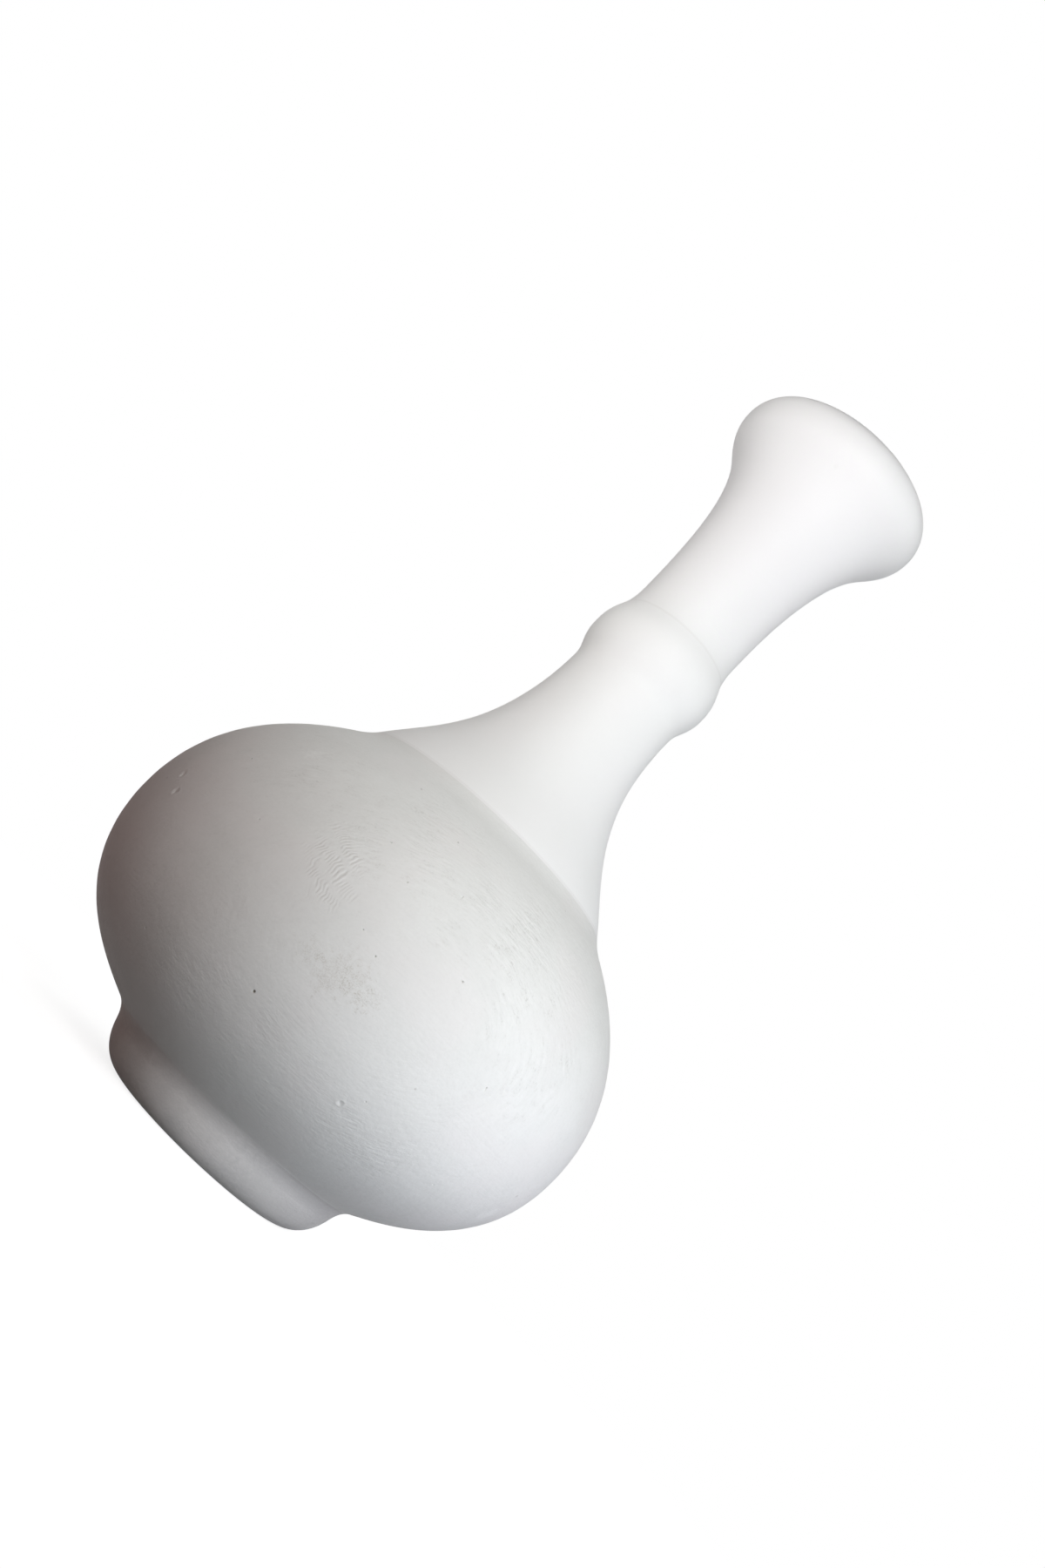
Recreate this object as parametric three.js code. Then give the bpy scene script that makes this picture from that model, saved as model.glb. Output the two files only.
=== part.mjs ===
// Bisque-fired vase with a globular bulb, a fluted neck with a soft ring round it, and a trumpet mouth.
// It is made as a potter makes it: a foot ring, a bulb, a neck and a mouth, each turned by itself,
// stepped to locate in its neighbour and joined to it by a thin ring of slip.
// Millimetres, +Z up, origin at the middle of the foot where it stands.
import * as THREE from "three";

// Foot ring, from the ground up.
const footRadius = 25.1;
const footHeight = 8.2;
const footEdgeReach = 6.4;
const footTopRound = 0.4;
const footStandWidth = 2.3;
const footHollowDraft = 1;
const footInnerRound = 1.2;

// Bulb. A rise is measured from the station below it, here and further up.
const bellyRadius = 48.3;
const bellyRise = 28.6;
const shoulderRadius = 26.7;
const shoulderRise = 32.5;
const bulbWall = 4;
const bulbFloor = 4.4;

// Neck: the throat is its slimmest place, the knop the soft ring, the collar the edge above the ring.
const throatRadius = 11.8;
const throatRise = 36.5;
const knopRadius = 13.5;
const knopRise = 7.4;
const collarRadius = 12;
const collarRise = 6.4;
const boreRadius = 8;

// Mouth: the waist is the slimmest place of its tube, the rim the widest of its trumpet.
const waistRadius = 11.3;
const waistRise = 6;
const rimRadius = 21.1;
const rimRise = 39.1;
const lipReach = 3;
const lipRise = 3.8;
const lipInnerRound = 1.3;

// Joints: slip lies between flat seats, and the upper piece has a step that drops into the lower one.
// The slip of the two upper joints stands proud as a bead, and that of the foot is smoothed to a cove
// out to the bulb, which starts a little wider than the foot.
const slipThickness = 0.5;
const slipBead = 0.35;
const coveReach = 1;
const stepClearance = 0.4;
const footStepDepth = 1.4;
const shoulderSeatWidth = 3.2;
const shoulderSeatDepth = 2.5;
const shoulderTongueWall = 3;
const collarSeatDepth = 2.2;

// Slopes of the outline, in degrees from level, where it meets a joint.
const footWallSlope = 84;
const springSlope = 25;
const shoulderSlope = 37;
const skirtSlope = 55;
const skirtInnerSlope = 80;
const collarSlope = 67;
const tubeSlope = 74;

// Facets round the axis.
const turnSteps = 52;

// Heights of the stations above the ground.
const bulbBase = footHeight + slipThickness;
const bellyHeight = bulbBase + bellyRise;
const shoulderSeat = bellyHeight + shoulderRise;
const skirtBase = shoulderSeat + slipThickness;
const throatHeight = skirtBase + throatRise;
const knopHeight = throatHeight + knopRise;
const collarSeat = knopHeight + collarRise;
const tubeBase = collarSeat + slipThickness;
const waistHeight = tubeBase + waistRise;
const rimHeight = waistHeight + rimRise;
const lipTop = rimHeight + lipRise;

// Radii that two pieces share. The collar's seat takes half of the wall there, and its tongue the rest.
const footStandRadius = footRadius - footEdgeReach;
const footHollowRadius = footStandRadius - footStandWidth - footInnerRound;
const footHollowTop = footHollowRadius - footHollowDraft;
const footTopRadius = footRadius - footTopRound;
const springRadius = footRadius + coveReach;
const shoulderSeatInner = shoulderRadius - shoulderSeatWidth;
const collarSeatInner = (collarRadius + boreRadius) / 2;

// Directions of travel along an outline, which runs up the outside and down the inside.
const outward = 0;
const upward = 90;
const inward = 180;
const downward = 270;

// A curve whose two handles are equal and level bulges by this share of their length.
const bulgeShare = 3 / 4;

const point = (radius, height) => new THREE.Vector2(radius, height);

function step(from, direction, distance) {
  const angle = THREE.MathUtils.degToRad(direction);
  return point(from.x + distance * Math.cos(angle), from.y + distance * Math.sin(angle));
}

// A curve between two stations that leaves and arrives in given directions. Each pull is the length of
// the curve's handle as a share of the straight distance, so the curve keeps its character when resized.
function sweep(start, leaving, startPull, end, arriving, endPull, steps) {
  const span = start.distanceTo(end);
  const firstHandle = step(start, leaving, startPull * span);
  const secondHandle = step(end, arriving, -endPull * span);
  return new THREE.CubicBezierCurve(start, firstHandle, secondHandle, end).getPoints(steps);
}

// A quarter of an ellipse between two stations. It starts level, or else upright, and ends the other way.
function quarterRound(start, startsLevel, end, steps) {
  const corner = startsLevel ? point(end.x, start.y) : point(start.x, end.y);
  const points = [];
  for (let i = 0; i <= steps; i += 1) {
    const angle = (i / steps) * (Math.PI / 2);
    const towardsStart = 1 - Math.sin(angle);
    const towardsEnd = 1 - Math.cos(angle);
    const radius = corner.x + (start.x - corner.x) * towardsStart + (end.x - corner.x) * towardsEnd;
    const height = corner.y + (start.y - corner.y) * towardsStart + (end.y - corner.y) * towardsEnd;
    points.push(point(radius, height));
  }
  return points;
}

// Turns runs of points about the +Z axis. A ring's outline closes on its first point, and a bowl's
// starts and ends on the axis.
function turned(name, material, ...runs) {
  const points = runs.flat();
  if (points[0].x > 0) points.push(points[0].clone());
  const geometry = new THREE.LatheGeometry(points, turnSteps);
  geometry.rotateX(Math.PI / 2);
  const mesh = new THREE.Mesh(geometry, material);
  mesh.name = name;
  return mesh;
}

function bisque(color, roughness) {
  return new THREE.MeshStandardMaterial({ color, roughness, metalness: 0 });
}

// Foot ring: flat where it stands, with a full rounded outer edge and a tapered hollow.
function footRing() {
  const innerStand = point(footHollowRadius + footInnerRound, 0);
  const outerStand = point(footStandRadius, 0);
  const wallTop = point(footRadius, footHeight - footTopRound);
  const outerTop = point(footTopRadius, footHeight);
  const innerTop = point(footHollowTop, footHeight);
  const innerWall = point(footHollowRadius, footInnerRound);
  return turned(
    "foot_ring",
    bisque(0xe4e1dd, 0.94),
    sweep(outerStand, outward, 0.04, wallTop, footWallSlope, 0.64, 7),
    quarterRound(wallTop, false, outerTop, 2).slice(1),
    [innerTop],
    quarterRound(innerWall, false, innerStand, 2),
  );
}

// Bulb: closed floor with a step that drops into the foot ring, and a seat for the neck at the shoulder.
function bodyBulb() {
  const stepRadius = footHollowTop - stepClearance;
  const stepBase = footHeight - footStepDepth;
  const spring = point(springRadius, bulbBase);
  const belly = point(bellyRadius, bellyHeight);
  const outerSeat = point(shoulderRadius, shoulderSeat);
  const innerSeat = point(shoulderSeatInner, shoulderSeat);
  const hollowTop = point(shoulderSeatInner, shoulderSeat - shoulderSeatDepth);
  const hollowBelly = point(bellyRadius - bulbWall, bellyHeight);
  const floor = point(0, bulbBase + bulbFloor);
  return turned(
    "body_bulb",
    bisque(0xe9e8e5, 0.94),
    [point(0, stepBase), point(stepRadius, stepBase), point(stepRadius, bulbBase)],
    sweep(spring, springSlope, 0.21, belly, upward, 0.52, 9),
    sweep(belly, upward, 0.43, outerSeat, inward - shoulderSlope, 0.33, 8).slice(1),
    [innerSeat],
    sweep(hollowTop, -shoulderSlope, 0.34, hollowBelly, downward, 0.43, 7),
    sweep(hollowBelly, downward, 0.34, floor, inward, 0.54, 8).slice(1),
  );
}

// Neck: a skirt that flares down to the shoulder, the throat, and the knop with a socket in its top.
function neckFlute() {
  const tongueRadius = shoulderSeatInner - stepClearance;
  const tongueFoot = shoulderSeat - shoulderSeatDepth + stepClearance;
  const innerSkirt = point(tongueRadius - shoulderTongueWall, tongueFoot);
  const skirt = point(shoulderRadius, skirtBase);
  const throat = point(throatRadius, throatHeight);
  const knop = point(knopRadius, knopHeight);
  const outerSeat = point(collarRadius, collarSeat);
  const innerSeat = point(collarSeatInner, collarSeat);
  const socketFloor = collarSeat - collarSeatDepth;
  const bore = point(boreRadius, throatHeight);
  return turned(
    "neck_flute",
    bisque(0xf1f0ed, 0.88),
    [point(tongueRadius, tongueFoot), point(tongueRadius, skirtBase)],
    sweep(skirt, inward - skirtSlope, 0.22, throat, upward, 0.54, 8),
    sweep(throat, upward, 0.4, knop, upward, 0.48, 4).slice(1),
    sweep(knop, upward, 0.39, outerSeat, inward - collarSlope, 0.56, 4).slice(1),
    [innerSeat, point(collarSeatInner, socketFloor), point(boreRadius, socketFloor)],
    sweep(bore, downward, 0.44, innerSkirt, -skirtInnerSlope, 0.27, 7),
  );
}

// Mouth: a slim tube that opens into a trumpet with a full rounded lip.
function trumpetMouth() {
  const tongueRadius = collarSeatInner - stepClearance;
  const tongueFoot = collarSeat - collarSeatDepth + stepClearance;
  const tube = point(collarRadius, tubeBase);
  const waist = point(waistRadius, waistHeight);
  const rim = point(rimRadius, rimHeight);
  const crest = point(rimRadius - lipReach, lipTop);
  const innerLip = point(crest.x - lipInnerRound, lipTop - lipInnerRound);
  const bore = point(boreRadius, waistHeight);
  return turned(
    "trumpet_mouth",
    bisque(0xf1f0ed, 0.88),
    [point(boreRadius, tongueFoot), point(tongueRadius, tongueFoot), point(tongueRadius, tubeBase)],
    sweep(tube, inward - tubeSlope, 0.5, waist, upward, 0.2, 3),
    sweep(waist, upward, 0.87, rim, upward, 0.19, 11).slice(1),
    quarterRound(rim, false, crest, 4).slice(1),
    quarterRound(crest, true, innerLip, 2).slice(1),
    sweep(innerLip, downward, 0.1, bore, downward, 0.8, 9).slice(1),
  );
}

// The outer face of slip that is squeezed out of a joint as a soft bead, from the lower seat to the upper.
function beadFace(radius, base) {
  const pull = slipBead / (bulgeShare * slipThickness);
  const lower = point(radius, base);
  const upper = point(radius, base + slipThickness);
  return sweep(lower, outward, pull, upper, inward, pull, 3);
}

// Slip: fills the seat from its inner edge out to its outer face.
function slipRing(name, innerRadius, base, outerFace) {
  const top = base + slipThickness;
  return turned(
    name,
    bisque(0xf4f2ef, 0.9),
    [point(innerRadius, base)],
    outerFace,
    [point(innerRadius, top)],
  );
}

const footCove = quarterRound(point(footTopRadius, footHeight), false, point(springRadius, bulbBase), 3);

const vase = new THREE.Group();
vase.add(
  footRing(),
  slipRing("foot_luting_slip", footHollowTop, footHeight, footCove),
  bodyBulb(),
  slipRing("shoulder_luting_slip", shoulderSeatInner, shoulderSeat, beadFace(shoulderRadius, shoulderSeat)),
  neckFlute(),
  slipRing("collar_luting_slip", collarSeatInner, collarSeat, beadFace(collarRadius, collarSeat)),
  trumpetMouth(),
);

export default vase;
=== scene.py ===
import math

import bmesh
import bpy
import numpy as np
from mathutils import Matrix, Vector, noise


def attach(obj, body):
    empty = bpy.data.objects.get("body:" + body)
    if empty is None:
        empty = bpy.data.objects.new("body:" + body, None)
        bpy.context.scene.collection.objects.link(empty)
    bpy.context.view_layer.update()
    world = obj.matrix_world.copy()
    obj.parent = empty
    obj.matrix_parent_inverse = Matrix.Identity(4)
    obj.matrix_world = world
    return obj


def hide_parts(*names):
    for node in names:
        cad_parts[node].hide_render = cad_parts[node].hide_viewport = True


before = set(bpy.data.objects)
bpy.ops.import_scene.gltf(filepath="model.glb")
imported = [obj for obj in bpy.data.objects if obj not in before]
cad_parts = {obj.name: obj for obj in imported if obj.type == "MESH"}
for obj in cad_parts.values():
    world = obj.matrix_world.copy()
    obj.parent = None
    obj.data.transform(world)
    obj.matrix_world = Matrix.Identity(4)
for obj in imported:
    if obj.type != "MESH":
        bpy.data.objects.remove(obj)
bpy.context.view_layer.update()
millimetre = 0.001
print("frame loaded:", len(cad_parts), "nodes")


def addNode(tree, kind, **settings):
    node = tree.nodes.new(kind)
    for key, value in settings.items():
        setattr(node, key, value)
    return node


def feed(node, values):
    for key, value in values.items():
        if isinstance(value, bpy.types.NodeSocket):
            node.id_data.links.new(value, node.inputs[key])
        else:
            node.inputs[key].default_value = value
    return node


def fed(tree, kind, values, **settings):
    return feed(addNode(tree, kind, **settings), values).outputs[0]


def attributeAt(tree, name):
    return addNode(tree, "ShaderNodeAttribute", attribute_name=name).outputs["Fac"]


def clearedTree(owner):
    owner.use_nodes = True
    owner.node_tree.nodes.clear()
    return owner.node_tree


def calc(tree, operation, first, second=0.0, clamp=False):
    return fed(tree, "ShaderNodeMath", {0: first, 1: second}, operation=operation, use_clamp=clamp)


def plus(tree, first, second):
    return calc(tree, "ADD", first, second)


def minus(tree, first, second):
    return calc(tree, "SUBTRACT", first, second)


def times(tree, first, second, clamp=False):
    return calc(tree, "MULTIPLY", first, second, clamp)


def over(tree, first, second):
    return calc(tree, "DIVIDE", first, second)


def vectorCalc(tree, operation, first, second=None, scale=None):
    node = addNode(tree, "ShaderNodeVectorMath", operation=operation)
    feed(node, {0: first})
    if second is not None:
        feed(node, {1: second})
    if scale is not None:
        feed(node, {"Scale": scale})
    return node.outputs["Value" if operation in ("LENGTH", "DOT_PRODUCT") else "Vector"]


def scaled(tree, vector, scale):
    return vectorCalc(tree, "SCALE", vector, scale=scale)


def spaced(tree, vector, size):
    # A place counted in steps of a size in millimetres, for a noise of scale 1.
    return scaled(tree, vector, 1 / (size * millimetre))


def joined(tree, **parts):
    return fed(tree, "ShaderNodeCombineXYZ", parts)


def parted(tree, vector):
    return feed(addNode(tree, "ShaderNodeSeparateXYZ"), {0: vector}).outputs


def noiseAt(tree, vector, scale, detail=2.0, roughness=0.5, seed=None):
    values = {"Vector": vector, "Scale": scale, "Detail": detail, "Roughness": roughness}
    if seed is None:
        return fed(tree, "ShaderNodeTexNoise", values)
    return fed(tree, "ShaderNodeTexNoise", dict(values, W=seed), noise_dimensions="4D")


def remap(tree, value, low, high, newLow=0.0, newHigh=1.0, smooth=True):
    values = {"Value": value, "From Min": low, "From Max": high, "To Min": newLow, "To Max": newHigh}
    kind = "SMOOTHSTEP" if smooth else "LINEAR"
    return fed(tree, "ShaderNodeMapRange", values, interpolation_type=kind)


def mixColour(tree, amount, first, second):
    node = addNode(tree, "ShaderNodeMix", data_type="RGBA")
    feed(node, {0: amount, 6: first, 7: second})
    return node.outputs[2]


# The kinds of a group's sockets that aren't plain numbers.
socketKinds = {
    "Geometry": "NodeSocketGeometry",
    "Material": "NodeSocketMaterial",
    "Turn Steps": "NodeSocketInt",
    "Vector": "NodeSocketVector",
    "Place": "NodeSocketVector",
}


def newGroup(name, kind, inputs, outputs):
    group = bpy.data.node_groups.new(name, kind)
    for inOut, sockets in (("INPUT", inputs), ("OUTPUT", outputs)):
        for socket in sockets:
            socketKind = socketKinds.get(socket, "NodeSocketFloat")
            group.interface.new_socket(socket, in_out=inOut, socket_type=socketKind)
    ins = addNode(group, "NodeGroupInput").outputs
    outs = addNode(group, "NodeGroupOutput")
    return group, ins, outs


def useGroup(tree, group, values):
    node = addNode(tree, "ShaderNodeGroup", node_tree=group)
    return feed(node, values).outputs


def clamped(value):
    return min(1.0, max(0.0, value))


# Directions of travel along an outline, in degrees from level.
outwards, upwards, inwards, downwards = 0, 90, 180, 270


def sweep(start, leaving, startPull, end, arriving, endPull, steps):
    # A curve that leaves and arrives in given directions; pulls are shares of the straight distance.
    start, end = Vector(start), Vector(end)
    span = (end - start).length
    away, home = math.radians(leaving), math.radians(arriving)
    first = start + Vector((math.cos(away), math.sin(away))) * startPull * span
    second = end - Vector((math.cos(home), math.sin(home))) * endPull * span
    points = []
    for i in range(steps + 1):
        t = i / steps
        u = 1 - t
        points.append(u**3 * start + 3 * u * u * t * first + 3 * u * t * t * second + t**3 * end)
    return points


def quarterRound(start, startsLevel, end, steps):
    start, end = Vector(start), Vector(end)
    corner = Vector((end.x, start.y)) if startsLevel else Vector((start.x, end.y))
    points = []
    for i in range(steps + 1):
        angle = i / steps * math.pi / 2
        fromStart = (start - corner) * (1 - math.sin(angle))
        fromEnd = (end - corner) * (1 - math.cos(angle))
        points.append(corner + fromStart + fromEnd)
    return points


def straight(start, end, steps):
    start, end = Vector(start), Vector(end)
    return [start.lerp(end, i / steps) for i in range(steps + 1)]


def trimmed(points, cut):
    points = list(points)
    while cut > 0 and len(points) > 1:
        piece = (points[1] - points[0]).length
        if piece > cut:
            points[0] = points[0].lerp(points[1], cut / piece)
            break
        cut -= piece
        points.pop(0)
    return points


def eased(before, after, easeBefore, easeAfter, steps=5):
    # Two runs that meet in a corner, with the corner rounded over the given lengths.
    corner = before[-1]
    head = trimmed(before[::-1], easeBefore)[::-1]
    tail = trimmed(after, easeAfter)
    bend = []
    for i in range(1, steps + 1):
        t = i / (steps + 1)
        bend.append((1 - t) ** 2 * head[-1] + 2 * t * (1 - t) * corner + t * t * tail[0])
    return head + bend + tail


def joinRuns(*parts):
    # Runs in turn. A number between two of them is the ease of the corner there.
    outline, ease = list(parts[0]), 0.0
    for part in parts[1:]:
        if isinstance(part, float):
            ease = part
        else:
            outline = eased(outline, part, ease, ease) if ease else outline + part[1:]
            ease = 0.0
    return outline


def stretch(points, low, high):
    # The part of a rising outline between two heights.
    heights = [p.y for p in points]
    radii = [p.x for p in points]
    inside = [p for p in points if low < p.y < high]
    ends = [Vector((float(np.interp(h, heights, radii)), h)) for h in (low, high)]
    return [ends[0]] + inside + [ends[1]]


# The axis leans a little: its sideways shift along +X at each height, in millimetres. The shifts are
# joined smoothly, by a weighted mean of the straight-line values nearby.
lean = {
    "heights": [0, 7, 16, 37, 70, 92, 112, 135, 170],
    "shifts": [0.68, 0.57, -0.04, 0.0, 0.09, -0.03, 0.47, 0.62, 1.4],
    "reach": 6,
    "softness": 4,
}


def leanAt(height):
    offsets = np.linspace(-lean["reach"], lean["reach"], 2 * lean["reach"] + 1)
    weights = np.exp(-((offsets / lean["softness"]) ** 2))
    values = np.interp(height + offsets, lean["heights"], lean["shifts"])
    return float((values * weights).sum() / weights.sum())


def outlineMesh(name, points, ridgeAt):
    mesh = bpy.data.meshes.new(name)
    corners = [(p.x * millimetre, 0.0, p.y * millimetre) for p in points]
    mesh.from_pydata(corners, [(i, i + 1) for i in range(len(points) - 1)], [])
    shift = mesh.attributes.new("lean", "FLOAT", "POINT")
    travel = mesh.attributes.new("travel", "FLOAT", "POINT")
    ridge = mesh.attributes.new("ridge", "FLOAT", "POINT")
    gone = 0.0
    for i, p in enumerate(points):
        if i:
            gone += (p - points[i - 1]).length
        shift.data[i].value = leanAt(p.y) * millimetre
        travel.data[i].value = gone
        ridge.data[i].value = ridgeAt(p) * millimetre
    return mesh


# What the whole vase shares: how far the soft clay wanders and over what size, the pitch of the
# throwing ridges, how near the axis the wandering stops, and the welding distance, in millimetres.
# The patches in which the ridges come and go are counted to the metre.
vase = {
    "wander": 0.1,
    "wanderSize": 30.0,
    "ridgePitch": 5.0,
    "ridgePatches": 45.0,
    "stillReach": 10.0,
    "weld": 0.002,
    "seed": 3.0,
    "ridgeSeed": 9.0,
}
sharpAngle = 35


def buildTurningTree():
    # Turns an outline about +Z on a grid, lets it wander as soft clay does, and closes it.
    inputs = ["Geometry", "Turn Steps", "Wander", "Wander Size", "Ridge Pitch", "Seed", "Material"]
    tree, ins, outs = newGroup("turnOutline", "GeometryNodeTree", inputs, ["Geometry"])
    outline = ins["Geometry"]
    rows = fed(tree, "GeometryNodeAttributeDomainSize", {0: outline}, component="MESH")
    columns = plus(tree, ins["Turn Steps"], 1.0)
    sheet = fed(tree, "GeometryNodeMeshGrid", {"Vertices X": rows, "Vertices Y": columns})
    index = addNode(tree, "GeometryNodeInputIndex").outputs[0]
    row = calc(tree, "FLOOR", over(tree, plus(tree, index, 0.5), columns))
    column = minus(tree, index, times(tree, row, columns))
    angle = times(tree, over(tree, column, ins["Turn Steps"]), 2 * math.pi)

    def sampled(dataType, value):
        values = {"Geometry": outline, "Value": value, "Index": row}
        return fed(tree, "GeometryNodeSampleIndex", values, data_type=dataType, domain="POINT")

    def named(name):
        return fed(tree, "GeometryNodeInputNamedAttribute", {0: name}, data_type="FLOAT")

    place = sampled("FLOAT_VECTOR", addNode(tree, "GeometryNodeInputPosition").outputs[0])
    parts = parted(tree, place)
    outward = joined(tree, X=calc(tree, "COSINE", angle), Y=calc(tree, "SINE", angle))
    ringPlace = scaled(tree, outward, parts["X"])
    upright = joined(tree, X=sampled("FLOAT", named("lean")), Z=parts["Z"])
    turnedPlace = vectorCalc(tree, "ADD", ringPlace, upright)
    waverScale = over(tree, 1.0, ins["Wander Size"])
    waver = noiseAt(tree, turnedPlace, waverScale, 1.0, 0.4, ins["Seed"])
    # The axis itself stays put, so a floor keeps its middle point.
    nearAxis = remap(tree, parts["X"], 0.0, vase["stillReach"] * millimetre)
    push = times(tree, minus(tree, times(tree, waver, 2.0), 1.0), ins["Wander"])
    # Throwing ridges climb in one long spiral, and come and go.
    travelled = sampled("FLOAT", named("travel"))
    winding = times(tree, over(tree, travelled, ins["Ridge Pitch"]), 2 * math.pi)
    ridgeSeed = plus(tree, ins["Seed"], vase["ridgeSeed"])
    coming = noiseAt(tree, turnedPlace, vase["ridgePatches"], 1.0, 0.5, ridgeSeed)
    spiral = times(tree, calc(tree, "SINE", plus(tree, winding, angle)), coming)
    push = plus(tree, push, times(tree, spiral, sampled("FLOAT", named("ridge"))))
    pushed = scaled(tree, outward, times(tree, push, nearAxis))
    wandered = vectorCalc(tree, "ADD", turnedPlace, pushed)
    values = {"Geometry": sheet, "Name": "travel", "Value": travelled}
    stored = fed(tree, "GeometryNodeStoreNamedAttribute", values, data_type="FLOAT", domain="POINT")
    shaped = fed(tree, "GeometryNodeSetPosition", {"Geometry": stored, "Position": wandered})
    weld = vase["weld"] * millimetre
    closed = fed(tree, "GeometryNodeMergeByDistance", {"Geometry": shaped, "Distance": weld})
    smooth = fed(tree, "GeometryNodeSetShadeSmooth", {"Geometry": closed})
    real = fed(tree, "GeometryNodeRealizeInstances", {"Geometry": smooth})
    dressed = fed(tree, "GeometryNodeSetMaterial", {"Geometry": real, "Material": ins["Material"]})
    feed(outs, {"Geometry": dressed})
    return tree


turningTree = buildTurningTree()


def setInput(modifier, name, value):
    for item in modifier.node_group.interface.items_tree:
        if item.item_type == "SOCKET" and item.in_out == "INPUT" and item.name == name:
            modifier[item.identifier] = value


def noRidge(place):
    return 0.0


def turnPiece(name, outline, piece, material, ridgeAt=noRidge):
    turning = bpy.data.objects.new(name + "_turning", outlineMesh(name + "_outline", outline, ridgeAt))
    bpy.context.scene.collection.objects.link(turning)
    modifier = turning.modifiers.new("turning", "NODES")
    modifier.node_group = turningTree
    setInput(modifier, "Turn Steps", piece["turnSteps"])
    # One wander for all, so that neighbours keep together at their seats.
    setInput(modifier, "Wander", vase["wander"] * millimetre)
    setInput(modifier, "Wander Size", vase["wanderSize"] * millimetre)
    setInput(modifier, "Ridge Pitch", vase["ridgePitch"])
    setInput(modifier, "Seed", vase["seed"])
    setInput(modifier, "Material", material)
    graph = bpy.context.evaluated_depsgraph_get()
    mesh = bpy.data.meshes.new_from_object(turning.evaluated_get(graph), depsgraph=graph)
    turning.modifiers.remove(modifier)
    outlineData = turning.data
    bpy.data.objects.remove(turning)
    bpy.data.meshes.remove(outlineData)
    work = bmesh.new()
    work.from_mesh(mesh)
    if work.calc_volume(signed=True) < 0:
        bmesh.ops.reverse_faces(work, faces=work.faces)
    work.to_mesh(mesh)
    work.free()
    mesh.set_sharp_from_angle(angle=math.radians(sharpAngle))
    mesh.name = name
    turned = bpy.data.objects.new(name, mesh)
    bpy.context.scene.collection.objects.link(turned)
    print("turned", name, len(mesh.polygons), "faces")
    return turned


# The noise of each effect, where it starts and ends, and how fine it is to the millimetre.
pitCells = {"rarity": 0.55, "width": 0.06, "edge": 0.025}
linePatches = (0.38, 0.62)
lineSwaying = 0.12
markEdge = {"tears": 1.1, "tearReach": 4.0, "full": 0.35, "gone": 1.05}


def buildClayGrain():
    # Fine grain, soft mottling and small open pits of fired clay, sized in millimetres.
    inputs = ["Vector", "Grain Size", "Mottle Size", "Pit Spacing"]
    tree, ins, outs = newGroup("clayGrain", "ShaderNodeTree", inputs, ["Grain", "Mottle", "Pits"])
    place = spaced(tree, ins["Vector"], 1)
    fine = noiseAt(tree, place, over(tree, 1.0, ins["Grain Size"]), detail=3.0, roughness=0.6)
    broad = noiseAt(tree, place, over(tree, 1.0, ins["Mottle Size"]), detail=3.0, roughness=0.55)
    cells = addNode(tree, "ShaderNodeTexVoronoi", feature="F1")
    feed(cells, {"Vector": place, "Scale": over(tree, 1.0, ins["Pit Spacing"])})
    # Only some cells hold a pit, and each has its own width.
    chance = feed(addNode(tree, "ShaderNodeSeparateColor"), {0: cells.outputs["Color"]}).outputs
    width = times(tree, remap(tree, chance[0], pitCells["rarity"], 1.0), pitCells["width"])
    inside = minus(tree, width, cells.outputs["Distance"])
    pits = remap(tree, inside, 0.0, pitCells["edge"])
    feed(outs, {"Grain": fine, "Mottle": broad, "Pits": pits})
    return tree


def buildTurningLines():
    # Broken lines that run round the piece, as a brush or rib leaves them.
    # Travel is the way along the outline, in millimetres.
    inputs = ["Vector", "Travel", "Line Width", "Line Length", "Sway", "Patch Size"]
    tree, ins, outs = newGroup("turningLines", "ShaderNodeTree", inputs, ["Lines", "Patches"])
    place = spaced(tree, ins["Vector"], 1)
    level = vectorCalc(tree, "MULTIPLY", place, (1.0, 1.0, 0.0))
    aroundPlace = scaled(tree, level, over(tree, 1.0, ins["Line Length"]))
    drift = minus(tree, noiseAt(tree, place, lineSwaying, detail=1.0), 0.5)
    swayed = plus(tree, ins["Travel"], times(tree, drift, ins["Sway"]))
    rowPlace = joined(tree, Z=over(tree, swayed, ins["Line Width"]))
    linePlace = vectorCalc(tree, "ADD", aroundPlace, rowPlace)
    lines = noiseAt(tree, linePlace, 1.0, detail=3.0, roughness=0.6)
    patches = noiseAt(tree, place, over(tree, 1.0, ins["Patch Size"]))
    feed(outs, {"Lines": lines, "Patches": remap(tree, patches, *linePatches)})
    return tree


def buildHandMark():
    # A soft-edged ragged patch round a place on the piece, with its width in millimetres.
    inputs = ["Vector", "Place", "Width", "Raggedness"]
    tree, ins, outs = newGroup("handMark", "ShaderNodeTree", inputs, ["Mask"])
    gap = vectorCalc(tree, "LENGTH", vectorCalc(tree, "SUBTRACT", ins["Vector"], ins["Place"]))
    reach = over(tree, times(tree, gap, 2 / millimetre), ins["Width"])
    torn = noiseAt(tree, spaced(tree, ins["Vector"], 1), markEdge["tears"], detail=3.0, roughness=0.6)
    tearReach = times(tree, ins["Raggedness"], markEdge["tearReach"])
    edge = times(tree, minus(tree, torn, 0.5), tearReach)
    mask = remap(tree, plus(tree, reach, edge), markEdge["full"], markEdge["gone"], 1.0, 0.0)
    feed(outs, {"Mask": mask})
    return tree


clayGrain = buildClayGrain()
turningLines = buildTurningLines()
handMark = buildHandMark()


def onBulb(height, turn, radius):
    angle = math.radians(turn)
    outward = Vector((radius * math.cos(angle), radius * math.sin(angle), height))
    return outward * millimetre


def maskOf(tree, place, spot, ragged):
    values = {"Vector": place, "Place": onBulb(*spot["at"]), "Width": spot["width"]}
    return useGroup(tree, handMark, dict(values, Raggedness=ragged))["Mask"]


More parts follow.
